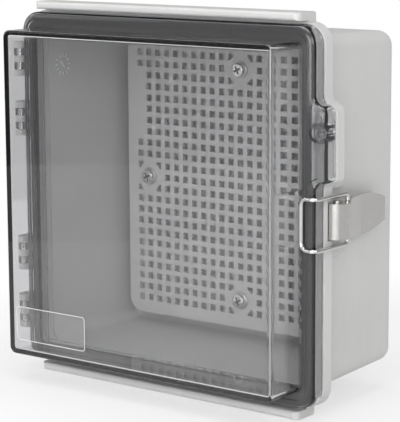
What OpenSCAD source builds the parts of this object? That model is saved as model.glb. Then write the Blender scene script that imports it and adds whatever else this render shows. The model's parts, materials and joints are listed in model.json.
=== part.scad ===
// Wall-mounted enclosure with a deep clear cover on a side hinge, a perforated mounting panel inside
// and an over-centre wire latch. Millimetres. +Z is up, the cover faces -Y, the back wall lies on y = 0.

/* [Base moulding] */
// Half width of the base at its back face
base_half = 137.5; // [125:0.5:150]
// Half width of the base walls just behind the rim
base_front_half = 141.5; // [128:0.5:154]
// Corner radius of the base at its back face
base_corner_r = 12.5; // [10.5:0.5:20]
// Radius of the rounded edge around the back face
back_edge_r = 10; // [6:0.5:10.4]
// Thickness of the base walls and back
base_wall = 3.5; // [2.5:0.1:4.5]
// Half width of the front rim of the base
rim_half = 151; // [149:0.5:156]
// Thickness of the front rim, front to back
rim_t = 10; // [6:0.5:12]
// Distance from the back face to the front of the rim
rim_y = 122; // [90:1:180]
// Height of the sealing tongue above the rim
tongue_h = 7.2; // [5:0.1:7.2]
// Thickness of the sealing tongue
tongue_t = 4; // [2.5:0.1:5]
// Half width of the sealing tongue, outside
tongue_half = 143; // [141:0.5:144]

/* [Rain bars] */
// Half length of the bars above and below the cover
bar_half = 135; // [90:1:136]
// Distance from the centre of the box to the outer face of a bar
bar_top = 159; // [156:0.5:170]
// Height of the overhanging part of a bar
bar_t = 6.5; // [4:0.5:7]
// How far a bar stands forward of the rim
bar_reach = 14; // [6:0.5:22]

/* [Clear cover] */
// Half width of the cover over its skirt
cover_half = 150; // [148:0.5:152]
// Corner radius of the cover skirt
cover_corner_r = 16; // [12:0.5:24]
// Length of the skirt behind the rounded edge
skirt_len = 9; // [6:0.5:10]
// Gap between the skirt and the rim
skirt_gap = 1; // [0.5:0.1:3]
// Radius of the rounded front edge of the flange
flange_r = 5; // [3:0.5:6]
// Thickness of the skirt
skirt_t = 3; // [2:0.1:4]
// Half width of the raised window box
window_half = 135.5; // [120:0.5:137]
// Corner radius of the raised window box
window_corner_r = 6; // [5.2:0.1:14]
// How far the window stands forward of the flange
window_rise = 36; // [15:1:80]
// Radius of the rounded edge around the window front
window_edge_r = 5; // [3.2:0.1:8]
// Thickness of the clear window walls
window_t = 3; // [2:0.1:4]
// Width of the step around the foot of the window
foot_w = 2.5; // [1:0.1:4]
// Height of the step around the foot of the window
foot_h = 1.2; // [0.4:0.1:1.8]
// Width of the crest that the wire latch hooks over
crest_w = 2; // [1:0.1:2.5]
// Depth of the groove behind the crest
groove_d = 1.8; // [0.8:0.1:2.4]
// Width of the label outline on the window
label_w = 76; // [20:1:120]
// Height of the label outline on the window
label_h = 29; // [10:1:60]
// Thickness of the label film
label_t = 0.4; // [0.3:0.05:0.8]

/* [Seal] */
// Thickness of the foam gasket in the cover channel
gasket_t = 2.5; // [2:0.1:2.5]
// Gap between the gasket and the sealing tongue
gasket_gap = 0.3; // [0.3:0.05:0.8]

/* [Hinge] */
// Distance from the box centre line to the hinge axis
hinge_x = 157; // [155:0.5:162]
// Distance from the back face to the hinge axis
hinge_y = 130; // [128:0.5:132]
// Radius of the hinge knuckles
knuckle_r = 6; // [4:0.1:6.2]
// Length of one group of knuckles
knuckle_l = 29; // [20:0.5:34]
// Length of each of the two cover knuckles in a group
cover_knuckle_l = 5.4; // [3:0.1:8]
// Height of the outer knuckle groups above and below the middle
knuckle_out = 109.5; // [95:0.5:118]
// Height of the inner knuckle groups above and below the middle
knuckle_in = 58.5; // [30:0.5:70]
// Gap between neighbouring knuckles
knuckle_gap = 0.4; // [0.3:0.05:1]
// Radius of a hinge pin
pin_r = 2; // [1.2:0.1:3]
// Radial clearance of a pin in the base knuckles
pin_base_fit = 0.03; // [0.01:0.01:0.1]
// Radial clearance of a pin in the cover knuckles
pin_cover_fit = 0.08; // [0.01:0.01:0.1]

/* [Padlock ear] */
// How far the ear stands out past the skirt
ear_out = 10.6; // [8:0.1:16]
// Height of the lower end of the ear above the middle of the box
ear_low = 36; // [30:0.5:60]
// Height of the upper end of the ear above the middle of the box
ear_high = 86; // [75:0.5:110]
// Corner radius of the ear
ear_r = 7; // [3:0.5:10]
// Distance from the box centre line to the padlock hole
lock_x = 152.5; // [151:0.1:155]
// Height of the padlock hole
lock_z = 68.5; // [50:0.5:75]
// Radius of the padlock hole
lock_r = 3.5; // [2:0.1:3.8]
// Radius of the shallow recess around the padlock hole
lock_recess_r = 6.5; // [5:0.1:8]

/* [Mounting panel] */
// Spacing of the square panel holes
pitch = 10; // [8:0.5:10.2]
// Number of panel holes along a side
hole_count = 23; // [19:2:23]
// Side of a square panel hole
hole_w = 5.6; // [3:0.1:7]
// Side of the panel
panel_w = 248; // [200:1:250]
// Corner radius of the panel
panel_corner_r = 13; // [2:0.5:20]
// Thickness of the panel
panel_t = 2.5; // [1.5:0.1:4]
// Distance from the back face to the front of the panel
panel_y = 26; // [16:1:60]
// Radius of the plain area around a panel screw
land_r = 13; // [9:0.5:14]
// Distance from the panel centre to each panel screw
screw_out = 100; // [60:5:105]
// Radius of the posts that carry the panel
post_r = 8; // [6:0.5:11]

/* [Panel fixings] */
// Radius of a panel screw head
screw_head_r = 6.5; // [4:0.1:8]
// Height of a panel screw head
screw_head_h = 5; // [2:0.1:6]
// Radius of a panel screw shank
screw_r = 2.5; // [1.5:0.1:3]
// Length of a panel screw under its head
screw_l = 14; // [8:0.5:16]
// Radial clearance of a screw in the panel
screw_fit = 0.3; // [0.1:0.05:0.6]
// Radial clearance of a screw in its insert
screw_insert_fit = 0.05; // [0.01:0.01:0.1]
// Outer radius of a panel washer
washer_r = 7.6; // [6:0.1:10]
// Thickness of a panel washer
washer_t = 1.2; // [0.6:0.1:2]
// Outer radius of a threaded insert
insert_r = 4; // [3.2:0.1:5]
// Length of a threaded insert
insert_l = 10; // [5:0.5:14]
// Radial clearance of an insert in its post
insert_fit = 0.03; // [0.01:0.01:0.1]

/* [Wall fixing] */
// Spacing of the wall holes in both directions
wall_pitch = 230; // [120:1:240]
// Radius of a wall hole
wall_hole_r = 3.25; // [2:0.05:5]

/* [Wire latch] */
// Height of the latch above the middle of the box
latch_z = -2; // [-30:1:4]
// Distance from the box centre line to the lever pivot
pivot_x = 152.5; // [152.5:0.5:154]
// Distance from the back face to the lever pivot
pivot_y = 107; // [103:0.5:108]
// Radius of the lever drum
drum_r = 10.5; // [10:0.1:11]
// Width of the lever drum
drum_w = 28; // [24:0.5:32]
// Thickness of the lever plate
lever_t = 1.5; // [1:0.1:2]
// Width of the lever handle
handle_w = 32; // [26:0.5:34]
// Width of the lever handle at its end
handle_end_w = 19; // [10:0.5:26]
// Distance from the back face to the bend in the handle
handle_bend_y = 72; // [65:1:80]
// Distance from the back face to the end of the handle
handle_end_y = 37; // [30:1:48]
// Distance from the box centre line to the flat part of the handle
handle_x = 151.5; // [149:0.5:156]
// Radius of the latch wire
wire_r = 1.4; // [0.8:0.1:1.6]
// Half height of the wire loop
wire_half = 20; // [19:0.5:21]
// Radial clearance of the wire in the lever
wire_fit = 0.08; // [0.01:0.01:0.1]
// Distance from the box centre line to the wire in the groove
wire_x = 139.9; // [139.6:0.1:141]
// How deep the wire sits behind the crest
hook_bite = 0.5; // [0.2:0.05:0.8]
// Radius of the lever pivot pin
pivot_r = 2; // [1:0.1:2.5]
// Radial clearance of the pivot pin
pivot_fit = 0.05; // [0.01:0.01:0.1]
// Thickness of the latch bracket
bracket_t = 1.5; // [1:0.1:2]
// Width of the latch bracket
bracket_w = 22; // [18:0.5:23]
// Radius of a bracket rivet head
rivet_head_r = 3.4; // [2.4:0.1:4]
// Radius of a bracket rivet shank
rivet_r = 1.6; // [1:0.1:2]
// Height of the moulded guards above and below the latch
guard_h = 6; // [4:0.5:10]

/* [Hidden] */
e = 0.01;
base_c = base_half - base_corner_r;
wall_s = base_front_half - base_c;
cove_r = 6;
cove_top = rim_y - rim_t;
cover_c = cover_half - cover_corner_r;
crest_y = rim_y + skirt_gap + skirt_len + flange_r;
groove_y = crest_y - groove_d;
channel_y = rim_y + tongue_h + gasket_gap + gasket_t;
ridge_half = cover_half - flange_r;
window_c = window_half - window_corner_r;
window_y = crest_y + window_rise;
rib_y = channel_y - 6.5;
rim_corner_r = cover_corner_r + rim_half - cover_half;
tongue_corner_r = 12;
panel_back = panel_y - panel_t;
base_knuckle_l = (knuckle_l - 2 * cover_knuckle_l - 4 * knuckle_gap) / 3;
bail_x = pivot_x + 2.5;
bail_y = pivot_y - 10;
knuckle_wall = 1.6;
wire_y = crest_y + wire_r - hook_bite;
hook_angle = 14;
lever_cheek = drum_w / 2 - lever_t;
bracket_cheek = bracket_w / 2;
wall_x = base_front_half + 0.3;
plate_top = pivot_y - 10.5;
plate_l = 17;
rivet_y = plate_top - 11;
drum_back = 25;
knuckle_z = [knuckle_out, knuckle_in, -knuckle_in, -knuckle_out];
screw_at = [[0, screw_out], [screw_out, 0], [0, -screw_out], [-screw_out, 0]];
shell = [0.80, 0.80, 0.79];
clear = [0.55, 0.56, 0.57, 0.45];
steel = [0.74, 0.74, 0.72];
$fn = 64;

// Front view helpers: x to the right, y up, z forward from the back face.
module front() rotate([90, 0, 0]) children();

module rounded(h, r) {
    square([2 * h, 2 * (h - r)], center = true);
    square([2 * (h - r), 2 * h], center = true);
    for (x = [-1, 1], y = [-1, 1]) translate([x * (h - r), y * (h - r)]) circle(r);
}

// Sweeps a section around a square of half width c with round corners.
module ring(c)
    for (a = [0, 90, 180, 270]) rotate([0, 0, a]) translate([c, c, 0]) {
        rotate_extrude(angle = 90) children();
        rotate([90, 0, 0]) linear_extrude(2 * c) children();
    }

module quarter(r, t) intersection() {
    difference() {
        circle(r);
        circle(r - t);
    }
    translate([0, -r]) square(r);
}

// ---- base ----
module base_section() {
    s0 = base_corner_r;
    square([s0 - back_edge_r, base_wall]);
    translate([s0 - back_edge_r, back_edge_r]) quarter(back_edge_r, base_wall);
    polygon([[s0 - base_wall, back_edge_r], [s0, back_edge_r], [wall_s, cove_top - cove_r],
             [wall_s, cove_top + 2], [wall_s - base_wall, cove_top + 2]]);
    difference() {
        translate([wall_s - 1, cove_top - cove_r]) square([cove_r + 1, cove_r + 1]);
        translate([wall_s + cove_r, cove_top - cove_r]) circle(cove_r);
    }
}

module base_rim() {
    translate([0, 0, rim_y - rim_t]) linear_extrude(rim_t) difference() {
        rounded(rim_half, rim_corner_r);
        rounded(tongue_half - tongue_t, tongue_corner_r - tongue_t);
    }
    translate([0, 0, rim_y - e]) linear_extrude(tongue_h + e) difference() {
        rounded(tongue_half, tongue_corner_r);
        rounded(tongue_half - tongue_t, tongue_corner_r - tongue_t);
    }
}

module rain_bar() {
    r = 2.5;
    intersection() {
        translate([-bar_half, 0, 0]) rotate([90, 0, 90]) linear_extrude(2 * bar_half) {
            translate([bar_top - bar_t, rim_y - rim_t]) square([bar_t - r, rim_t + bar_reach - r]);
            translate([bar_top - bar_t, rim_y - rim_t + r]) square([bar_t, rim_t + bar_reach - 2 * r]);
            translate([bar_top - bar_t + r, rim_y]) square([bar_t - 2 * r, bar_reach]);
            for (v = [rim_y - rim_t + r, rim_y + bar_reach - r]) translate([bar_top - r, v]) circle(r);
            translate([bar_top - bar_t + r, rim_y + bar_reach - r]) circle(r);
            translate([rim_half - 4, rim_y - rim_t]) square([bar_top - bar_t - rim_half + 5, rim_t]);
        }
        translate([0, bar_top + 20, rim_y + bar_reach - 60]) rotate([90, 0, 0]) linear_extrude(40) {
            square([2 * bar_half, 110], center = true);
            translate([-bar_half + 5, 0]) square([2 * bar_half - 10, 60]);
            for (x = [-1, 1]) translate([x * (bar_half - 5), 55]) circle(5);
        }
    }
}

module ear_shape(out) {
    x0 = cover_half - 3;
    translate([x0, ear_low]) square([out - x0, ear_high - ear_low - ear_r]);
    translate([x0, ear_low]) square([out - x0 - ear_r, ear_high - ear_low]);
    translate([out - ear_r, ear_high - ear_r]) circle(ear_r);
    difference() {
        translate([x0, ear_high - 1]) square([8 + 3, 9]);
        translate([cover_half + 8, ear_high + 8]) circle(8);
    }
}

module base_knuckles() for (z = knuckle_z) {
    translate([-hinge_x - knuckle_r, z - knuckle_l / 2, rim_y - rim_t + 1])
        cube([hinge_x + knuckle_r - rim_half + 3, knuckle_l, rim_t - 2]);
    for (i = [-1, 0, 1]) translate([-hinge_x, z + i * (knuckle_l - base_knuckle_l) / 2 - base_knuckle_l / 2, 0])
        rotate([-90, 0, 0]) linear_extrude(base_knuckle_l) {
            translate([0, -hinge_y]) circle(knuckle_r);
            translate([-knuckle_r, -hinge_y]) square([2 * knuckle_r, hinge_y - rim_y + 3]);
        }
}

module knuckle_bores(r) for (z = knuckle_z)
    translate([-hinge_x, z - knuckle_l / 2 - 1, hinge_y]) rotate([-90, 0, 0]) cylinder(h = knuckle_l + 2, r = r);

module latch_guards() for (s = [-1, 1])
    translate([base_front_half - 3, latch_z + s * (wire_half + 4 + guard_h / 2), 0]) rotate([-90, 0, 0])
        translate([0, 0, -guard_h / 2]) linear_extrude(guard_h) difference() {
            polygon([[0, -cove_top - 1], [8.5, -cove_top - 1], [8.5, -98], [5.5, -86], [0, -78]]);
        }

module bracket_pad() translate([base_front_half - 3, latch_z - bracket_w / 2 - 1, plate_top - plate_l - 1])
    cube([3.3, bracket_w + 2, plate_l + 2]);

module date_dial() translate([-base_front_half + base_wall - 0.6, 103, 98]) rotate([0, 90, 0]) {
    for (a = [0:30:330]) rotate([0, 0, a]) translate([6.4, -0.6, 0]) cube([2.8, 1.2, 2]);
    rotate([0, 0, 130]) translate([-4, -0.6, 0]) cube([7, 1.2, 2]);
    rotate([0, 0, 130]) translate([2.6, 0, 1]) rotate([0, 0, 45]) cube([2.4, 2.4, 2], center = true);
}

module base() color(shell) front() difference() {
    union() {
        ring(base_c) base_section();
        translate([-base_c, -base_c, 0]) cube([2 * base_c, 2 * base_c, base_wall]);
        base_rim();
        rain_bar();
        mirror([0, 1, 0]) rain_bar();
        base_knuckles();
        translate([0, 0, rim_y - 11]) linear_extrude(11) ear_shape(cover_half + ear_out + 1);
        latch_guards();
        bracket_pad();
        for (p = screw_at) translate([p[0], p[1], base_wall - e]) cylinder(h = panel_back - base_wall + e, r = post_r);
        date_dial();
    }
    knuckle_bores(pin_r + pin_base_fit);
    translate([lock_x, lock_z, rim_y - 30]) cylinder(h = 60, r = lock_r);
    for (p = screw_at) translate([p[0], p[1], panel_back - insert_l - 3])
        cylinder(h = insert_l + 4, r = insert_r + insert_fit);
    for (x = [-1, 1], y = [-1, 1]) translate([x * wall_pitch / 2, y * wall_pitch / 2, -1])
        cylinder(h = base_wall + 2, r = wall_hole_r);
    translate([pivot_x, latch_z - drum_w / 2 - 1.5, pivot_y]) rotate([-90, 0, 0])
        cylinder(h = drum_w + 3, r = drum_r + 0.8);
    for (s = [-1, 1]) translate([base_c, latch_z + s * 5, rivet_y]) rotate([0, 90, 0])
        cylinder(h = 30, r = rivet_r + 0.05);
}

// ---- cover ----
module flange_section() {
    s = cover_corner_r;
    translate([s - skirt_t, rim_y + skirt_gap]) square([skirt_t, skirt_len]);
    intersection() {
        translate([s - flange_r, crest_y - flange_r]) circle(flange_r);
        translate([s - flange_r, crest_y - flange_r]) square(flange_r);
    }
    translate([s - flange_r - crest_w, channel_y]) square([crest_w + e, crest_y - channel_y]);
}

module window_section() {
    s = window_corner_r;
    translate([s - window_t, rib_y]) square([window_t, window_y - window_edge_r - rib_y]);
    translate([s - window_edge_r, window_y - window_edge_r]) mirror([0, 1]) quarter(window_edge_r, window_t);
    translate([0, window_y - window_t]) square([s - window_edge_r, window_t]);
}

module cover_knuckles() for (z = knuckle_z, i = [-1, 1])
    translate([-hinge_x, z + i * (cover_knuckle_l + base_knuckle_l + 2 * knuckle_gap) / 2 - cover_knuckle_l / 2, 0])
        rotate([-90, 0, 0]) linear_extrude(cover_knuckle_l) {
            translate([0, -hinge_y]) circle(knuckle_r);
            translate([0, -hinge_y - 3.5]) square([hinge_x - cover_half + 1, 8.5]);
        }

module cover() color(clear) front() difference() {
    union() {
        ring(cover_c) flange_section();
        translate([0, 0, channel_y]) linear_extrude(groove_y - channel_y) difference() {
            rounded(ridge_half, cover_corner_r - flange_r);
            rounded(window_half - 1, window_corner_r - 1);
        }
        translate([0, 0, groove_y - e]) linear_extrude(foot_h + e) difference() {
            rounded(window_half + foot_w, window_corner_r + foot_w);
            rounded(window_half - 1, window_corner_r - 1);
        }
        ring(window_c) window_section();
        translate([-window_c, -window_c, window_y - window_t]) cube([2 * window_c, 2 * window_c, window_t]);
        translate([0, 0, rim_y + skirt_gap]) linear_extrude(skirt_len + 3.4) ear_shape(cover_half + ear_out);
        cover_knuckles();
    }
    knuckle_bores(pin_r + pin_cover_fit);
    translate([lock_x, lock_z, rim_y - 10]) cylinder(h = 60, r = lock_r);
    translate([lock_x, lock_z, crest_y - 3.6]) cylinder(h = 10, r = lock_recess_r);
}

module cover_gasket() color([0.28, 0.28, 0.28]) front()
    translate([0, 0, channel_y - gasket_t]) linear_extrude(gasket_t) difference() {
        rounded(cover_half - skirt_t - 0.3, cover_corner_r - skirt_t - 0.3);
        rounded(window_half + 0.3, window_corner_r + 0.3);
    }

module label_film() color([0.75, 0.75, 0.75, 0.4]) front()
    translate([-window_c + 2, -124, window_y]) linear_extrude(label_t) {
        translate([0, 3]) square([label_w, label_h - 6]);
        translate([3, 0]) square([label_w - 6, label_h]);
        for (x = [3, label_w - 3], y = [3, label_h - 3]) translate([x, y]) circle(3);
    }

// ---- mounting panel ----
function outer_hole(c, r) = c == 1 && r >= 3 && r <= 8;

module mounting_panel() color([0.72, 0.72, 0.71]) front()
    translate([0, 0, panel_back]) linear_extrude(panel_t) difference() {
        rounded(panel_w / 2, panel_corner_r);
        difference() {
            for (c = [1:hole_count], r = [1:hole_count]) if (!outer_hole(c, r))
                translate([(c - (hole_count + 1) / 2) * pitch, ((hole_count + 1) / 2 - r) * pitch])
                    square(hole_w, center = true);
            for (p = screw_at) translate(p) circle(land_r);
        }
        for (p = screw_at) translate(p) circle(screw_r + screw_fit);
    }

module panel_screws() color(steel) front() for (p = screw_at) translate([p[0], p[1], panel_y + washer_t]) difference() {
    union() {
        intersection() {
            cylinder(h = screw_head_h, r = screw_head_r);
            translate([0, 0, screw_head_h - 9]) sphere(r = 9);
        }
        translate([0, 0, -screw_l]) cylinder(h = screw_l + 1, r = screw_r);
    }
    for (a = [45, 135]) rotate([0, 0, a]) translate([-3.2, -0.7, screw_head_h - 2.6]) cube([6.4, 1.4, 4]);
}

module panel_washers() color(steel) front() for (p = screw_at) translate([p[0], p[1], panel_y])
    linear_extrude(washer_t) difference() {
        circle(washer_r);
        circle(screw_r + screw_fit);
    }

module panel_inserts() color([0.78, 0.66, 0.36]) front() for (p = screw_at)
    translate([p[0], p[1], panel_back - insert_l]) linear_extrude(insert_l) difference() {
        circle(insert_r);
        circle(screw_r + screw_insert_fit);
    }

// ---- hinge pins ----
module pins(s) color(steel) front() for (z = [knuckle_out, knuckle_in])
    translate([-hinge_x, s * z - knuckle_l / 2, hinge_y]) rotate([-90, 0, 0]) cylinder(h = knuckle_l, r = pin_r);
module hinge_pins_upper() pins(1);
module hinge_pins_lower() pins(-1);

// ---- latch, drawn in plan: x outwards, y towards the back ----
module plan(h) translate([0, 0, latch_z - h / 2]) linear_extrude(h) children();

module cheek_pair(inner, t) for (s = [-1, 1])
    translate([0, 0, latch_z + s * (inner + t / 2) - t / 2]) linear_extrude(t) children();

module latch_bracket() color(steel) {
    difference() {
        plan(bracket_w) translate([wall_x, -plate_top]) square([bracket_t, plate_l]);
        for (s = [-1, 1]) translate([wall_x - 1, -rivet_y, latch_z + s * 5]) rotate([0, 90, 0])
            cylinder(h = 4, r = rivet_r + 0.05);
    }
    cheek_pair(bracket_cheek - bracket_t, bracket_t) difference() {
        union() {
            translate([wall_x, -plate_top]) square([bracket_t, plate_l]);
            polygon([[pivot_x + 2.5, -pivot_y + 1.7], [pivot_x - 2.5, -pivot_y - 1.7], [wall_x, -plate_top],
                     [wall_x, -plate_top + 10.8]]);
            translate([pivot_x, -pivot_y]) circle(3.6);
        }
        translate([pivot_x, -pivot_y]) circle(pivot_r + pivot_fit);
    }
}

module latch_rivets() color(steel) for (s = [-1, 1]) translate([wall_x, -rivet_y, latch_z + s * 5])
    rotate([0, 90, 0]) rotate_extrude() {
        translate([0, -4]) square([rivet_r, 4 + bracket_t + 0.5]);
        intersection() {
            translate([0, bracket_t]) square([rivet_head_r, 2]);
            translate([0, bracket_t - 2.8]) circle(4.6);
        }
    }

module latch_pivot_pin() color(steel) translate([pivot_x, -pivot_y, latch_z]) {
    cylinder(h = drum_w + 3, r = pivot_r, center = true);
}

module latch_pivot_clips() color(steel) for (s = [-1, 1])
    translate([pivot_x, -pivot_y, latch_z + s * (drum_w / 2 + 0.3 + 0.4) - 0.4]) linear_extrude(0.8) difference() {
        circle(pivot_r + 1.8);
        circle(pivot_r + 0.02);
        translate([pivot_r - 0.6, -1]) square([4, 2]);
    }

module latch_lever() color(steel) {
    // Drum
    plan(drum_w) translate([pivot_x, -pivot_y]) intersection() {
        difference() {
            circle(drum_r);
            circle(drum_r - lever_t);
        }
        polygon([[0, 0], [-20 * sin(drum_back), -20 * cos(drum_back)], [0, -30], [30, -30], [30, 0],
                 [20 * cos(62), 20 * sin(62)]]);
    }
    // Side cheeks
    cheek_pair(lever_cheek, lever_t) difference() {
        union() {
            translate([pivot_x, -pivot_y]) intersection() {
                circle(drum_r - 0.5);
                polygon([[-1, 0], [-20 * sin(drum_back), -20 * cos(drum_back)], [0, -30], [30, -30], [30, 0],
                         [20 * cos(80), 20 * sin(80)]]);
            }
            translate([pivot_x, -pivot_y]) circle(4);
        }
        translate([pivot_x, -pivot_y]) circle(pivot_r + pivot_fit);
        translate([bail_x, -bail_y]) circle(wire_r + wire_fit);
    }
    // Rolled knuckle for the wire
    plan(drum_w) translate([bail_x, -bail_y]) difference() {
        circle(wire_r + wire_fit + knuckle_wall);
        circle(wire_r + wire_fit);
    }
    // Handle plate, bent towards the wall behind the knuckle
    hx = bail_x + wire_r + wire_fit + knuckle_wall;
    intersection() {
        plan(handle_w) polygon([[hx - lever_t, -bail_y], [hx, -bail_y], [handle_x, -handle_bend_y],
            [handle_x, -handle_end_y], [handle_x - lever_t, -handle_end_y], [handle_x - lever_t, -handle_bend_y - 0.4]]);
        translate([handle_x - 10, 0, latch_z]) rotate([90, 0, 90]) linear_extrude(30)
            polygon([[-bail_y, -drum_w / 2], [-bail_y + 3, -handle_w / 2],
                [-handle_end_y - 22, -handle_w / 2], [-handle_end_y, -handle_end_w / 2],
                [-handle_end_y, handle_end_w / 2], [-handle_end_y - 22, handle_w / 2],
                [-bail_y + 3, handle_w / 2], [-bail_y, drum_w / 2]]);
    }
}

function unit(v) = v / norm(v);
function turn(u, w) = acos(u * w);

// A straight length of wire from p to q, its section squared up to n.
module straight(p, q, n, r = wire_r) {
    w = unit(q - p);
    m = cross(w, n);
    multmatrix([[n[0], m[0], w[0], p[0]], [n[1], m[1], w[1], p[1]], [n[2], m[2], w[2], p[2]], [0, 0, 0, 1]])
        linear_extrude(norm(q - p)) circle(r);
}

// One bend of the wire at b, on the way from a to c.
module bend(a, b, c, rb) {
    u = unit(b - a);
    w = unit(c - b);
    t = turn(u, w);
    n = unit(cross(u, w));
    s = b - u * rb * tan(t / 2);
    e1 = unit(cross(u, n));
    o = s - e1 * rb;
    multmatrix([[e1[0], u[0], n[0], o[0]], [e1[1], u[1], n[1], o[1]], [e1[2], u[2], n[2], o[2]], [0, 0, 0, 1]])
        rotate_extrude(angle = t) translate([rb, 0]) circle(wire_r);
}

// A closed wire through the points p with bend radii rb. A hair-thin collar backs each joint.
module wire_loop(p, rb) {
    n = len(p);
    for (i = [0:n - 1]) {
        a = p[(i + n - 1) % n];
        b = p[i];
        c = p[(i + 1) % n];
        d = p[(i + 2) % n];
        w = unit(c - b);
        m = unit(cross(b - a, c - b));
        from = b + w * rb[i] * tan(turn(unit(b - a), w) / 2);
        to = c - w * rb[(i + 1) % n] * tan(turn(w, unit(d - c)) / 2);
        bend(a, b, c, rb[i]);
        straight(from, to, m);
        for (j = [from, to]) straight(j - w * 0.1, j + w * 0.1, m, wire_r + 0.02);
    }
}

module latch_bail() color(steel) {
    $fn = 28;
    h = wire_half;
    z0 = latch_z;
    knee_x = bail_x - 0.2;
    knee_y = wire_y + (knee_x - wire_x) * tan(hook_angle);
    wire_loop([[bail_x, -bail_y, z0 - h], [bail_x, -bail_y, z0 + h], [knee_x, -knee_y, z0 + h],
               [wire_x, -wire_y, z0 + h], [wire_x, -wire_y, z0 - h], [knee_x, -knee_y, z0 - h]],
              [3, 3, 4.5, 3, 3, 4.5]);
}

base();
cover();
cover_gasket();
label_film();
mounting_panel();
panel_screws();
panel_washers();
panel_inserts();
hinge_pins_upper();
hinge_pins_lower();
latch_bracket();
latch_rivets();
latch_pivot_pin();
latch_pivot_clips();
latch_lever();
latch_bail();
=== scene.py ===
import json
import math
import bmesh
import bpy
from mathutils import Matrix, Vector


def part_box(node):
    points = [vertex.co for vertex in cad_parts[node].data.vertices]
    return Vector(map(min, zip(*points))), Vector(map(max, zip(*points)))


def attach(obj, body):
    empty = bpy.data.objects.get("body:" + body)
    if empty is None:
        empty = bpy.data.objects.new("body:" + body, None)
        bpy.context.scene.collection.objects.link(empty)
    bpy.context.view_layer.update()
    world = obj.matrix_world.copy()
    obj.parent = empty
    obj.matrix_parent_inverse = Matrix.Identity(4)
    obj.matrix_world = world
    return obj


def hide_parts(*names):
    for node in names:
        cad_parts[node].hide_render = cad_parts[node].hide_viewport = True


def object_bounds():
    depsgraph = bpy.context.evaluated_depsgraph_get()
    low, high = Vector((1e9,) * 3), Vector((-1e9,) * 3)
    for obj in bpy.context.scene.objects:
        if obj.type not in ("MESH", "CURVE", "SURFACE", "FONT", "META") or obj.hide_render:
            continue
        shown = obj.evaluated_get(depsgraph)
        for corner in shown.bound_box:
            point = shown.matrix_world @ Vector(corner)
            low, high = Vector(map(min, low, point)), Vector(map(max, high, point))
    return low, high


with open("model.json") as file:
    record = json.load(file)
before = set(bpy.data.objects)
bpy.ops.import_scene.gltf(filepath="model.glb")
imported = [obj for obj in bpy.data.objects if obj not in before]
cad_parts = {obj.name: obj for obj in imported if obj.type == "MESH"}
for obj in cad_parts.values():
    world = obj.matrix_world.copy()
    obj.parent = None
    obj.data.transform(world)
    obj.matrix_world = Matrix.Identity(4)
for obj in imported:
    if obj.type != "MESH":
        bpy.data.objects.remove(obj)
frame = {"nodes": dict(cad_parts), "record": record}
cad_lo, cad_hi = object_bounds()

nodes = frame["nodes"]
scene = bpy.context.scene
scene.view_settings.view_transform = "Standard"
MM = 0.001


# ---- materials ----
def grey(level):
    return (level, level, level)


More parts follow.
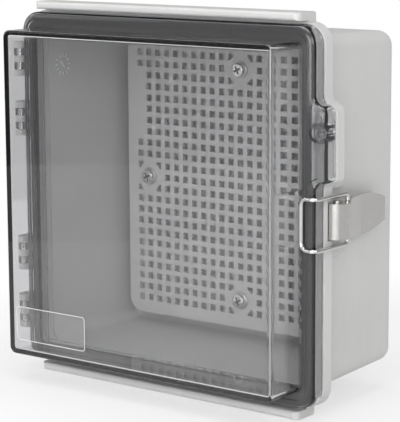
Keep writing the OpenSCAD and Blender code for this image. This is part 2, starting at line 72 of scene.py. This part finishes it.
class Tree:
    """The nodes of one material or world, built link by link."""

    def __init__(self, owner, kind="Material"):
        self.owner = owner
        owner.use_nodes = True
        self.nt = owner.node_tree
        self.nt.nodes.clear()
        self.out = self.add("ShaderNodeOutput" + kind)

    def add(self, kind, **values):
        n = self.nt.nodes.new(kind)
        for k, v in values.items():
            setattr(n, k, v)
        return n

    def put(self, socket, value):
        """Gives a socket a number, a colour or another node's output."""
        if isinstance(value, bpy.types.NodeSocket):
            self.nt.links.new(value, socket)
        elif socket.type == "RGBA":
            socket.default_value = (*value, 1)
        else:
            socket.default_value = value

    def coords(self, stretch=(1, 1, 1)):
        """The piece's own metres, stretched along its axes."""
        m = self.add("ShaderNodeMapping")
        m.inputs["Scale"].default_value = stretch
        self.put(m.inputs["Vector"], self.add("ShaderNodeTexCoord").outputs["Object"])
        return m.outputs["Vector"]

    def noise(self, scale, detail, rough, stretch=(1, 1, 1)):
        n = self.add("ShaderNodeTexNoise")
        for key, value in (("Scale", scale), ("Detail", detail), ("Roughness", rough)):
            self.put(n.inputs[key], value)
        self.put(n.inputs["Vector"], self.coords(stretch))
        return n.outputs["Fac"]

    def ramp(self, fac, low, high, a=0.0, b=1.0):
        """fac from a..b mapped to low..high, clamped."""
        n = self.add("ShaderNodeMapRange")
        for key, value in (("Value", fac), ("From Min", a), ("From Max", b), ("To Min", low), ("To Max", high)):
            self.put(n.inputs[key], value)
        return n.outputs["Result"]

    def blend(self, fac, a, b):
        """Colour a where fac is 0 and b where it is 1."""
        n = self.add("ShaderNodeMix", data_type="RGBA")
        for i, value in ((0, fac), (6, a), (7, b)):
            self.put(n.inputs[i], value)
        return n.outputs[2]

    def mix(self, fac, a, b):
        """Shader a where fac is 0 and b where it is 1."""
        n = self.add("ShaderNodeMixShader")
        for i, value in enumerate((fac, a, b)):
            self.put(n.inputs[i], value)
        return n.outputs[0]

    def math(self, op, a, b, clamp=False):
        n = self.add("ShaderNodeMath", operation=op, use_clamp=clamp)
        self.put(n.inputs[0], a)
        self.put(n.inputs[1], b)
        return n.outputs[0]

    def bump(self, height, distance, strength=1.0, normal=None):
        n = self.add("ShaderNodeBump")
        for key, value in (("Strength", strength), ("Distance", distance), ("Height", height)):
            self.put(n.inputs[key], value)
        if normal:
            self.put(n.inputs["Normal"], normal)
        return n.outputs["Normal"]

    def soft_edges(self, radius=0.5 * MM):
        """Normals that round every sharp edge a little."""
        n = self.add("ShaderNodeBevel", samples=4)
        n.inputs["Radius"].default_value = radius
        return n.outputs["Normal"]

    def principled(self, color, rough, normal=None, **values):
        p = self.add("ShaderNodeBsdfPrincipled")
        for key, value in (("Base Color", color), ("Roughness", rough), *values.items()):
            self.put(p.inputs[key], value)
        if normal:
            self.put(p.inputs["Normal"], normal)
        return p.outputs["BSDF"]

    def shader(self, kind, **values):
        """A plain shader, such as Emission, with its sockets set."""
        n = self.add("ShaderNode" + kind)
        for key, value in values.items():
            self.put(n.inputs[key], value)
        return n.outputs[0]

    def rays(self):
        return self.add("ShaderNodeLightPath").outputs

    def done(self, shader, volume=None):
        self.put(self.out.inputs["Surface"], shader)
        if volume:
            self.put(self.out.inputs["Volume"], volume)
        return self.owner


def material(name):
    return Tree(bpy.data.materials.new(name))


def moulded(name, dark, light, rough, grain=2200):
    """Moulded plastic: a fine spark-eroded grain, slow colour drift and faint flow marks."""
    t = material(name)
    drift = t.noise(14, detail=4, rough=0.6)
    flow = t.noise(60, detail=2, rough=0.5, stretch=(1, 1, 0.15))
    both = t.math("ADD", t.math("MULTIPLY", drift, 0.7), t.math("MULTIPLY", flow, 0.3))
    color = t.blend(t.ramp(both, 0, 1, 0.3, 0.7), dark, light)
    grains = t.noise(grain, detail=2, rough=0.6)
    normal = t.bump(grains, 0.04 * MM, strength=0.5, normal=t.soft_edges())
    return t.done(t.principled(color, t.ramp(both, rough + 0.05, rough - 0.05, 0.3, 0.7), normal))


def metal(name, dark, light, rough, stretch=(1, 1, 1)):
    """Satin metal: brush lines drawn out along an axis by stretch, and cloudy smears."""
    t = material(name)
    lines = t.noise(5000, detail=3, rough=0.6, stretch=stretch)
    smear = t.noise(70, detail=4, rough=0.6)
    color = t.blend(t.ramp(t.math("MULTIPLY", lines, smear), 0, 1, 0.1, 0.4), dark, light)
    brushed = t.ramp(lines, rough - 0.02, rough + 0.03, 0.3, 0.7)
    r = t.math("ADD", brushed, t.ramp(smear, -0.02, 0.02, 0.3, 0.7))
    normal = t.bump(lines, 0.001 * MM, strength=0.5, normal=t.soft_edges(0.3 * MM))
    return t.done(t.principled(color, r, normal, Metallic=1.0))


def clear(name, color, rough, shade, density, absorb):
    """Clear smoked plastic. Lamps pass it tinted by shade, so the inside stays lit."""
    t = material(name)
    normal = t.bump(t.noise(22, detail=2, rough=0.5), 0.1 * MM, strength=0.01)
    r = t.ramp(t.noise(900, detail=2, rough=0.5), rough, rough + 0.003, 0.45, 0.8)
    glass = t.principled(color, r, normal, **{"IOR": 1.585, "Transmission Weight": 1.0})
    through = t.shader("BsdfTransparent", Color=shade)
    volume = t.shader("VolumeAbsorption", Color=absorb, Density=density)
    return t.done(t.mix(t.rays()["Is Shadow Ray"], glass, through), volume)


def foam(name):
    """Closed-cell sealing foam: grey, dull and pitted."""
    t = material(name)
    v = t.add("ShaderNodeTexVoronoi")
    t.put(v.inputs["Scale"], 1500)
    t.put(v.inputs["Vector"], t.coords())
    cells = v.outputs["Distance"]
    color = t.blend(t.ramp(cells, 0, 1, 0.1, 0.8), grey(0.66), grey(0.80))
    return t.done(t.principled(color, 0.85, t.bump(cells, 0.2 * MM, strength=0.6)))


def film(name):
    """Clear adhesive film with a faint frosted face."""
    t = material(name)
    fine = t.noise(1800, detail=3, rough=0.6)
    frost = t.ramp(fine, 0.22, 0.4, 0.3, 0.7)
    face = t.principled(grey(0.85), frost, t.bump(fine, 0.03 * MM, strength=0.4))
    return t.done(t.mix(0.96, face, t.shader("BsdfTransparent")))


looks = {
    "shell": moulded("shell_grey", (0.575, 0.575, 0.57), (0.62, 0.62, 0.615), 0.42),
    # light grey of the dial's raised ticks: painted highlight of the light that the ridges catch
    "raised_mark": moulded("raised_mark", grey(0.88), grey(0.95), 0.35),
    "panel": moulded("panel_grey", (0.585, 0.585, 0.58), (0.625, 0.625, 0.62), 0.5, grain=2600),
    "clear_cover": clear("smoked_clear", (0.95, 0.95, 0.955), 0.0, shade=(0.60, 0.60, 0.605),
                         density=72, absorb=(0.35, 0.35, 0.37)),
    "seal": foam("seal_foam"),
    "film": film("clear_film"),
    "film_edge": moulded("cut_film_edge", grey(0.80), grey(0.88), 0.3),
    "zinc": metal("zinc_plate", (0.42, 0.42, 0.41), (0.62, 0.62, 0.61), 0.30),
    "brass": metal("turned_brass", (0.42, 0.29, 0.12), (0.62, 0.45, 0.2), 0.35, stretch=(0.2, 4, 1)),
    # dark metal of the pieces in the screws' crosses: painted shade of the recess
    "recess_shade": metal("recess_shade", grey(0.10), grey(0.16), 0.5),
    "bright_wire": metal("bright_wire", (0.72, 0.71, 0.70), (0.82, 0.81, 0.80), 0.12),
    "steel": metal("satin_steel", (0.585, 0.575, 0.56), (0.63, 0.62, 0.605), 0.24, stretch=(1, 0.05, 1)),
}
slots = {s["node"]: s["material_slot"] for s in frame["record"]["subparts"]}


def dress(obj, look):
    """Gives a piece the material of the look named."""
    obj.data.materials.clear()
    obj.data.materials.append(looks[look])


for name, obj in nodes.items():
    dress(obj, slots[name])


# ---- outlines: lists of points on a plane, in metres ----
def turned(centre, turn, points):
    """Points (outwards, across) laid round a centre, outwards being at the angle turn."""
    c, s = math.cos(turn), math.sin(turn)
    return [(centre[0] + u * c - w * s, centre[1] + u * s + w * c) for u, w in points]


def circle_loop(x, z, r, steps=48):
    turns = [2 * math.pi * i / steps for i in range(steps)]
    return [(x + r * math.cos(a), z + r * math.sin(a)) for a in turns]


def bar_loop(centre, turn, start, end, width):
    """A bar drawn outwards from a centre at an angle."""
    half = width / 2
    return turned(centre, turn, ((start, -half), (end, -half), (end, half), (start, half)))


def cross_loop(centre, turn, reach, half):
    """A cross with arms of half width half that reach so far from the centre."""
    loop = []
    for i in range(4):
        loop += turned(centre, turn + i * math.pi / 2, ((half, half), (half, reach), (-half, reach)))
    return loop


def rounded_loop(x0, z0, x1, z1, r, steps=8):
    """A rectangle with rounded corners."""
    loop = []
    corners = ((x1 - r, z1 - r), (x0 + r, z1 - r), (x0 + r, z0 + r), (x1 - r, z0 + r))
    for quarter, (cx, cz) in enumerate(corners):
        for i in range(steps + 1):
            a = math.radians(90 * (quarter + i / steps))
            loop.append((cx + r * math.cos(a), cz + r * math.sin(a)))
    return loop


# ---- mesh helpers ----
def to_object(name, bm):
    mesh = bpy.data.meshes.new(name)
    bm.to_mesh(mesh)
    bm.free()
    return link(bpy.data.objects.new(name, mesh))


def link(obj):
    scene.collection.objects.link(obj)
    return obj


def shaped(obj):
    """A mesh of the object with its modifiers or its curve worked out."""
    bpy.context.view_layer.update()
    return bpy.data.meshes.new_from_object(obj.evaluated_get(bpy.context.evaluated_depsgraph_get()))


def stub(name, loops, low, high, axis):
    """A straight piece with outlines and holes drawn across an axis, from low to high along it."""
    place = {"x": lambda a, b: (low, a, b), "y": lambda a, b: (a, low, b), "z": lambda a, b: (a, b, low)}[axis]
    bm = bmesh.new()
    edges = []
    for loop in loops:
        verts = [bm.verts.new(place(a, b)) for a, b in loop]
        edges += [bm.edges.new(pair) for pair in zip(verts, verts[1:] + verts[:1])]
    bmesh.ops.triangle_fill(bm, use_beauty=True, edges=edges)
    grown = bmesh.ops.extrude_face_region(bm, geom=list(bm.faces))["geom"]
    move = [high - low if letter == axis else 0 for letter in "xyz"]
    bmesh.ops.translate(bm, verts=[g for g in grown if isinstance(g, bmesh.types.BMVert)], vec=move)
    bmesh.ops.recalc_face_normals(bm, faces=bm.faces)
    return to_object(name, bm)


def lathe(name, profile, centre, steps=48):
    """A turned piece with its axis forwards: profile points are (radius, distance forward)."""
    bm = bmesh.new()
    rings = []
    for r, v in profile:
        ring = circle_loop(*centre, r, steps) if r > 0 else [centre]
        rings.append([bm.verts.new((x, -v, z)) for x, z in ring])
    for a, b in zip(rings, rings[1:]):
        for i in range(steps):
            j = (i + 1) % steps
            quad = [a[i % len(a)], a[j % len(a)], b[j % len(b)], b[i % len(b)]]
            bm.faces.new(list(dict.fromkeys(quad)))
    bmesh.ops.recalc_face_normals(bm, faces=bm.faces)
    return to_object(name, bm)


def rounded_path(corners, radii, steps=8):
    """A closed path through the corners, each turned with its own radius."""
    points = []
    for i, (corner, r) in enumerate(zip(corners, radii)):
        before, after = Vector(corners[i - 1]), Vector(corners[(i + 1) % len(corners)])
        corner = Vector(corner)
        u, w = (before - corner).normalized(), (after - corner).normalized()
        half = u.angle(w) / 2
        a, b = corner + u * r / math.tan(half), corner + w * r / math.tan(half)
        centre = corner + (u + w).normalized() * r / math.sin(half)
        for k in range(steps + 1):
            points.append(centre + (a.lerp(b, k / steps) - centre).normalized() * r)
    return points


def wire(name, points, r):
    """Round wire along a closed path of (place, share of the radius)."""
    curve = bpy.data.curves.new(name, "CURVE")
    curve.dimensions = "3D"
    curve.bevel_depth, curve.bevel_resolution = r, 6
    spline = curve.splines.new("POLY")
    spline.points.add(len(points) - 1)
    for point, (place, share) in zip(spline.points, points):
        point.co, point.radius = (*place, 1), share
    spline.use_cyclic_u = True
    rope = link(bpy.data.objects.new(name, curve))
    mesh = shaped(rope)
    bpy.data.objects.remove(rope)
    return link(bpy.data.objects.new(name, mesh))


def cut(obj, tool, operation):
    """Joins a helper to a piece or takes it away, and drops the helper."""
    m = obj.modifiers.new("join", "BOOLEAN")
    m.operation, m.object, m.solver = operation, tool, "EXACT"
    mesh = shaped(obj)
    obj.modifiers.clear()
    obj.data = mesh
    bpy.data.objects.remove(tool)


def smooth(obj, angle=32, flat_from=0.002):
    """Smooth shading, but for edges sharper than angle and for plane faces of flat_from square metres and more."""
    for poly in obj.data.polygons:
        poly.use_smooth = True
    obj.data.set_sharp_from_angle(angle=math.radians(angle))
    for poly in obj.data.polygons:
        poly.use_smooth = poly.area < flat_from


# ---- cover ----
cover_lo, cover_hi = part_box("cover")
HALF = cover_hi.z  # half width of the cover's skirt
BACK, FRONT = -cover_hi.y, -cover_lo.y  # free edge of the skirt, face of the window
CREST = BACK + 14 * MM  # the highest part of the flange
EAR_OUT, EAR_LOW, EAR_HIGH = 10.8 * MM, 24 * MM, 96.5 * MM  # reach past the skirt, and heights of its two ends
EAR_LOW_L, EAR_HIGH_L = 10.8 * MM, 14.4 * MM  # height that each S-curve takes
LOCK_X, LOCK_Z, LOCK_R = HALF + 2.5 * MM, 68.5 * MM, 3.5 * MM  # padlock hole
BOSS_R, BOSS_BACK = 8 * MM, 0.5 * MM  # thickening round the hole, set back from the crest
RECESS_R, RECESS_DEEP = 6.5 * MM, 3.6 * MM
ARC_STEPS = 8


def ear_path(offset):
    """Right-hand side of the outline round the padlock ear, from below: (distance past the skirt, height)."""
    path = []
    for length, z, up in ((EAR_LOW_L, EAR_LOW, 1), (EAR_HIGH_L, EAR_HIGH, -1)):
        r = (EAR_OUT ** 2 + length ** 2) / (4 * EAR_OUT)
        angle = 2 * math.atan(EAR_OUT / length)
        turns = [angle * i / ARC_STEPS for i in range(ARC_STEPS + 1)]
        hollow = [(r - (r - offset) * math.cos(a), z + up * (r - offset) * math.sin(a)) for a in turns]
        crown = [(EAR_OUT - r + (r + offset) * math.cos(a), z + up * (length - (r + offset) * math.sin(a)))
                 for a in reversed(turns)]
        side = hollow[:-1] + crown
        path += side if up > 0 else side[::-1]
    return path


def square_loop(half, r, ear):
    """Outline of half width half with corner radius r, its right side round the ear where ear is set.
    All outlines have the same number of points."""
    if ear:
        loop = [(HALF + dx, z) for dx, z in ear_path(half - HALF)]
    else:
        loop = [(half, z) for dx, z in ear_path(0)]
    c = half - r
    for quarter, (cx, cz) in enumerate(((c, c), (-c, c), (-c, -c), (c, -c))):
        for k in range(ARC_STEPS + 1):
            a = math.radians(90 * (quarter + k / ARC_STEPS))
            loop.append((cx + r * math.cos(a), cz + r * math.sin(a)))
    return loop


def cover_profile():
    """Outlines as (half width, corner radius, distance forward, follows the ear),
    from the window face out over the flange, down the skirt and back to the window's inside."""
    window, window_corner, edge = 137 * MM, 6 * MM, 1.5 * MM
    wall, fillet = 3.6 * MM, 2 * MM
    foot, foot_rise = 1 * MM, 1.2 * MM
    groove, crest, crest_corner = CREST - 1.8 * MM, HALF - 7 * MM, 9 * MM
    skirt, skirt_corner, shoulder = 3 * MM, 16 * MM, 5 * MM
    channel, rib, rib_in = CREST - 5 * MM, CREST - 11.5 * MM, 1.5 * MM

    def window_at(half, v):
        return half, window_corner - window + half, v, False

    def skirt_at(half, v):
        return half, skirt_corner - HALF + half, v, True

    turns = [math.radians(90 * i / 5) for i in range(6)]
    return [
        *(window_at(window - edge + edge * math.sin(a), FRONT - edge + edge * math.cos(a)) for a in turns),
        window_at(window, groove + foot_rise),
        window_at(window + foot, groove + foot_rise),
        window_at(window + foot, groove),
        (crest, crest_corner, groove, False),
        (crest, crest_corner, CREST, False),
        *(skirt_at(HALF - shoulder + shoulder * math.sin(a), CREST - shoulder + shoulder * math.cos(a))
          for a in turns),
        skirt_at(HALF, BACK),
        skirt_at(HALF - skirt, BACK),
        skirt_at(HALF - skirt, channel),
        window_at(window - rib_in, channel),
        window_at(window - rib_in, rib),
        window_at(window - wall, rib),
        *(window_at(window - wall - fillet + fillet * math.cos(a), FRONT - wall - fillet + fillet * math.sin(a))
          for a in turns),
    ]


def swept(name, profile):
    """The profile's outlines joined into one closed skin."""
    bm = bmesh.new()
    loops = []
    for half, r, v, ear in profile:
        loops.append([bm.verts.new((x, -v, z)) for x, z in square_loop(half, r, ear)])
    for a, b in zip(loops, loops[1:]):
        for i in range(len(a)):
            j = (i + 1) % len(a)
            bm.faces.new((a[i], a[j], b[j], b[i]))
    bm.faces.new(loops[0])
    bm.faces.new(loops[-1][::-1])
    bmesh.ops.remove_doubles(bm, verts=bm.verts, dist=1e-6)
    bmesh.ops.recalc_face_normals(bm, faces=bm.faces)
    return to_object(name, bm)


def lock_disc(name, r, low, high):
    return stub(name, [circle_loop(LOCK_X, LOCK_Z, r)], low, high, "y")


skin = swept("cover_skin", cover_profile())
cut(skin, lock_disc("boss", BOSS_R, -CREST + BOSS_BACK, -BACK), "UNION")
cut(skin, lock_disc("hole", LOCK_R, -CREST - MM, -BACK + MM), "DIFFERENCE")
cut(skin, lock_disc("recess", RECESS_R, -CREST - MM, -CREST + RECESS_DEEP), "DIFFERENCE")
smooth(skin)
dress(skin, "clear_cover")
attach(skin, "lid")

# ---- the cover's hinge knuckles, a pair on each pin ----
HINGE_X, HINGE_Y, KNUCKLE_R, BORE_R = -157 * MM, -130 * MM, 6 * MM, 2.08 * MM
ROOT_FRONT, ROOT_BACK, ROOT_X = 5 * MM, 3.5 * MM, -HALF + 0.4 * MM  # where the knuckle runs into the skirt
PIN_HEIGHTS = (109.5 * MM, 58.5 * MM, -58.5 * MM, -109.5 * MM)
LEAF_OFF, LEAF_T = 5.867 * MM, 5.4 * MM  # from the middle of a pair to that of a knuckle, and a knuckle's length
KNUCKLE_STEPS = 40
front_a, back_a = math.asin(ROOT_FRONT / KNUCKLE_R), math.asin(ROOT_BACK / KNUCKLE_R)
round_a = 2 * math.pi - front_a - back_a
turns = [front_a + round_a * i / KNUCKLE_STEPS for i in range(KNUCKLE_STEPS + 1)]
knuckle = [(HINGE_X + KNUCKLE_R * math.cos(a), HINGE_Y + KNUCKLE_R * math.sin(a)) for a in turns]
knuckle += [(ROOT_X, HINGE_Y - ROOT_BACK), (ROOT_X, HINGE_Y + ROOT_FRONT)]
bore = circle_loop(HINGE_X, HINGE_Y, BORE_R)
for i, z in enumerate(PIN_HEIGHTS):
    for side, end in ((-1, "low"), (1, "high")):
        low = z + side * LEAF_OFF - LEAF_T / 2
        leaf = stub(f"cover_knuckle_{i}_{end}", [knuckle, bore], low, low + LEAF_T, "z")
        smooth(leaf)
        dress(leaf, "clear_cover")
        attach(leaf, "lid")
        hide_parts("cover")
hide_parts("cover")

# ---- the base's half of the padlock ear ----
EAR_MARGIN, EAR_ROOT, EAR_OVER = 1 * MM, 4 * MM, 2 * MM  # past the cover's ear, into the rim, above and below
RIM_FACE, RIM_BACK = 15.05 * MM, 25.2 * MM  # behind the crest; the face is a hair behind the CAD rim's
ear = [(HALF - EAR_ROOT, EAR_LOW - EAR_OVER)]
ear += [(HALF + dx, z) for dx, z in ear_path(EAR_MARGIN)]
ear.append((HALF - EAR_ROOT, EAR_HIGH + EAR_OVER))
base_ear = stub("base_ear", [ear, circle_loop(LOCK_X, LOCK_Z, LOCK_R)], -CREST + RIM_FACE, -CREST + RIM_BACK, "y")
smooth(base_ear)
dress(base_ear, "shell")
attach(base_ear, "box")

# ---- latch wire ----
LATCH_Z, WIRE_HALF, WIRE_R = -2 * MM, 20 * MM, 1.7 * MM
NECK_R, NECK_HALF, NECK_END = 1.4 * MM, 14.4 * MM, 15 * MM  # thinner inside the lever's rolled end
REAR_BEND, KNEE_BEND, FRONT_BEND = 3 * MM, 5 * MM, 6 * MM
REAR = (155 * MM, -97 * MM)  # the axis of the lever's rolled end
BAR = (139.9 * MM, -CREST - 1.2 * MM)  # the bar over the cover's crest
KNEE_RUN, KNEE_SLOPE = 14.9 * MM, math.radians(14)  # sideways from the bar, and how much further forward it gets
knee = (BAR[0] + KNEE_RUN, BAR[1] - KNEE_RUN * math.tan(KNEE_SLOPE))
corners = []
for side in (1, -1):
    z = LATCH_Z + side * WIRE_HALF
    leg = [(*REAR, z), (*knee, z), (*BAR, z)]
    corners += leg if side > 0 else leg[::-1]
bends = [REAR_BEND, KNEE_BEND, FRONT_BEND]
path = [(p, 1) for p in rounded_path(corners, bends + bends[::-1])]
for z, r in ((-NECK_END, WIRE_R), (-NECK_HALF, NECK_R), (NECK_HALF, NECK_R), (NECK_END, WIRE_R)):
    path.append(((*REAR, LATCH_Z + z), r / WIRE_R))
bail = wire("bail_wire", path, WIRE_R)
smooth(bail, angle=60)
dress(bail, "bright_wire")
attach(bail, "wire")
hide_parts("latch_bail")

# ---- panel screws ----
SEAT = 27.2 * MM  # under the screw heads
SCREW_OUT = 100 * MM  # from the middle of the panel
HEAD_R, SHANK_R, SHANK = 6.5 * MM, 2.5 * MM, -14 * MM
CROSS_TURN, CROSS_REACH, CROSS_HALF = math.radians(25), 3.7 * MM, 0.9 * MM
CROSS_TOP, CROSS_FLOOR = 5 * MM, 1.5 * MM  # above the seat: past the head, floor of the cross
INLAY_GAP, INLAY_TOP = 0.05 * MM, 2.9 * MM  # the dark piece that lies in the cross and paints the shade in the recess
head = [(r * MM, v * MM) for r, v in ((0, 3.9), (4.6, 3.9), (5.6, 3.6), (6.2, 2.9))]
head += [(HEAD_R, 1.9 * MM), (HEAD_R, 0), (SHANK_R, 0), (SHANK_R, SHANK), (0, SHANK)]
for i, (across, up) in enumerate(((0, 1), (1, 0), (0, -1), (-1, 0))):
    place = (across * SCREW_OUT, up * SCREW_OUT)
    screw = lathe(f"panel_screw_{i}", [(r, SEAT + v) for r, v in head], place)
    cross = cross_loop(place, CROSS_TURN, CROSS_REACH, CROSS_HALF)
    cut(screw, stub("cross", [cross], -SEAT - CROSS_TOP, -SEAT - CROSS_FLOOR, "y"), "DIFFERENCE")
    # a dark piece in each cross paints the shade that falls in the recess
    inlay = cross_loop(place, CROSS_TURN, CROSS_REACH - INLAY_GAP, CROSS_HALF - INLAY_GAP)
    recess = stub(f"screw_recess_shade_{i}", [inlay], -SEAT - INLAY_TOP, -SEAT - CROSS_FLOOR - 2 * INLAY_GAP, "y")
    dress(recess, "recess_shade")
    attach(recess, "box")
    smooth(screw)
    dress(screw, "bright_wire")
    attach(screw, "box")
    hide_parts("panel_screws")

# ---- dial on the left wall: a ring of ticks round an arrow ----
DIAL = (-98 * MM, 103 * MM)
DIAL_FACE, DIAL_PROUD = -136.7 * MM, 0.2 * MM
TICK_IN, TICK_OUT, TICK_W = 6.2 * MM, 9.4 * MM, 1.3 * MM
ARROW, ARROW_BACK, ARROW_NECK, ARROW_W = math.radians(130), -4 * MM, 2.2 * MM, 1.1 * MM
marks = [bar_loop(DIAL, math.radians(a), TICK_IN, TICK_OUT, TICK_W) for a in range(0, 360, 30)]
marks.append(bar_loop(DIAL, ARROW, ARROW_BACK, ARROW_NECK, ARROW_W))
marks.append([(DIAL[0] + r * MM * math.cos(ARROW + t), DIAL[1] + r * MM * math.sin(ARROW + t))
              for r, t in ((4.4, 0), (2.9, 0.7), (2.9, -0.7))])
# the ticks are lighter than the wall to paint the highlight on the raised ridges
dial_marks = stub("dial_marks", marks, DIAL_FACE, DIAL_FACE + DIAL_PROUD, "x")
dress(dial_marks, "raised_mark")
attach(dial_marks, "box")

# ---- cut edge of the label film ----
LABEL_R, LABEL_EDGE, LABEL_T = 3 * MM, 0.6 * MM, 0.2 * MM
lo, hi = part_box("label_film")
frame_loops = [rounded_loop(lo.x + inset, lo.z + inset, hi.x - inset, hi.z - inset, LABEL_R - inset)
               for inset in (0, LABEL_EDGE)]
label_edge = stub("label_edge", frame_loops, lo.y, lo.y + LABEL_T, "y")
dress(label_edge, "film_edge")
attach(label_edge, "lid")

# ---- floor ----
AZ, EL, ROLL = math.radians(37.89), math.radians(9.79), math.radians(-0.33)  # the camera's place round the object
FLOOR_HALF, FLOOR_DROP = 15, 1 * MM
MIRROR_STEPS, STEP_DROP, STEP_SOFT = (0.84, 1.46), 0.40, 0.02  # where mirrors see the tone step down, and how
MIRROR_BACK, MIRROR_FRONT = 0.7, 0.2  # least tone in mirrors behind the middle and in front of it
GLASS_NEAR, GLASS_FAR = 1.0, 0.8  # tone seen through clear plastic


def ahead(t, azimuth):
    """Distance over the floor towards an azimuth, 0 being the front and 90 degrees the right."""
    n = t.add("ShaderNodeVectorMath", operation="DOT_PRODUCT")
    n.inputs[1].default_value = (math.sin(azimuth), -math.cos(azimuth), 0)
    t.put(n.inputs[0], t.coords())
    return n.outputs["Value"]


def white_paper(name, tone, near, far, azimuth):
    """Pale paper. For the camera it turns to plain white between near and far from the middle. Mirrors see
    two steps of tone on the side that the window shows to the camera, and clear plastic sees the floor behind
    the box, a little darker further off."""
    t = material(name)
    rays = t.rays()
    away = t.add("ShaderNodeVectorMath", operation="LENGTH")
    t.put(away.inputs[0], t.coords())
    face = t.principled(t.blend(t.noise(3, detail=3, rough=0.5), grey(tone), grey(tone * 1.02)), 0.9)
    white = t.math("MULTIPLY", rays["Is Camera Ray"], t.ramp(away.outputs["Value"], 0.6, 1, near, far))
    seen = t.mix(white, face, t.shader("Emission"))
    mirrored = ahead(t, -azimuth)
    strips = t.math("ADD", *(t.ramp(mirrored, STEP_DROP, 0, end, end + STEP_SOFT) for end in MIRROR_STEPS))
    strips = t.math("MULTIPLY", strips, t.ramp(mirrored, 0, 1, 0, 0.1))
    strips = t.math("ADD", strips, t.ramp(mirrored, MIRROR_BACK, MIRROR_FRONT, -0.1, 0.1))
    seen = t.mix(rays["Is Glossy Ray"], seen, t.shader("Emission", Strength=strips))
    through = t.ramp(ahead(t, azimuth + math.pi), GLASS_NEAR, GLASS_FAR, 0.86, 0.9)
    return t.done(t.mix(rays["Is Transmission Ray"], seen, t.shader("Emission", Strength=through)))


h = FLOOR_HALF
floor_mesh = bpy.data.meshes.new("floor")
floor_mesh.from_pydata([(-h, -h, 0), (h, -h, 0), (h, h, 0), (-h, h, 0)], [], [(0, 1, 2, 3)])
floor = link(bpy.data.objects.new("floor", floor_mesh))
floor.location = (0, 0, cad_lo.z - FLOOR_DROP)
floor.data.materials.append(white_paper("floor_paper", tone=0.9, near=0.24, far=0.42, azimuth=AZ))

# ---- world: white where it is seen, dimmer as light and in mirrors ----
SEEN, LIGHT, SHINE = 1.0, 0.45, 0.28


def sky(t, strength):
    return t.shader("Background", Color=grey(1), Strength=strength)


w = Tree(bpy.data.worlds.new("studio"), "World")
rays = w.rays()
lit = w.mix(rays["Is Glossy Ray"], sky(w, LIGHT), sky(w, SHINE))
direct = w.math("ADD", rays["Is Camera Ray"], rays["Is Transmission Ray"], clamp=True)
scene.world = w.done(w.mix(direct, lit, sky(w, SEEN)))

# ---- lamps: name, size in metres, power in watts, place ----
LIT = Vector((0, -0.08, 0))
for name, size, power, place in (
    ("key", 1.2, 15, (1.9, -1.2, 1.0)),
    ("top", 1.4, 17, (0.0, -0.3, 2.0)),
    ("front", 1.6, 34, (0.5, -2.4, 0.4)),
    ("fill", 1.6, 8, (-2.2, -1.2, 0.9)),
):
    data = bpy.data.lights.new(name, "AREA")
    data.shape = "RECTANGLE"
    data.size = data.size_y = size
    data.energy = power
    lamp = link(bpy.data.objects.new(name, data))
    lamp.location = place
    lamp.rotation_euler = (LIT - Vector(place)).to_track_quat("-Z", "Y").to_euler()

# ---- camera ----
TARGET, DISTANCE = Vector((-0.04529, -0.026, -0.02618)), 1.6414
back = Vector((math.sin(AZ) * math.cos(EL), -math.cos(AZ) * math.cos(EL), math.sin(EL)))
level = Vector((math.cos(AZ), math.sin(AZ), 0))
right = level * math.cos(ROLL) + back.cross(level) * math.sin(ROLL)
axes = Matrix((right, back.cross(right), back)).transposed().to_4x4()
cam_data = bpy.data.cameras.new("camera")
cam_data.sensor_width = 36
cam_data.lens = 160.35
cam_data.clip_start, cam_data.clip_end = 0.05, 100
camera = link(bpy.data.objects.new("camera", cam_data))
camera.matrix_world = Matrix.Translation(TARGET + back * DISTANCE) @ axes
scene.camera = camera
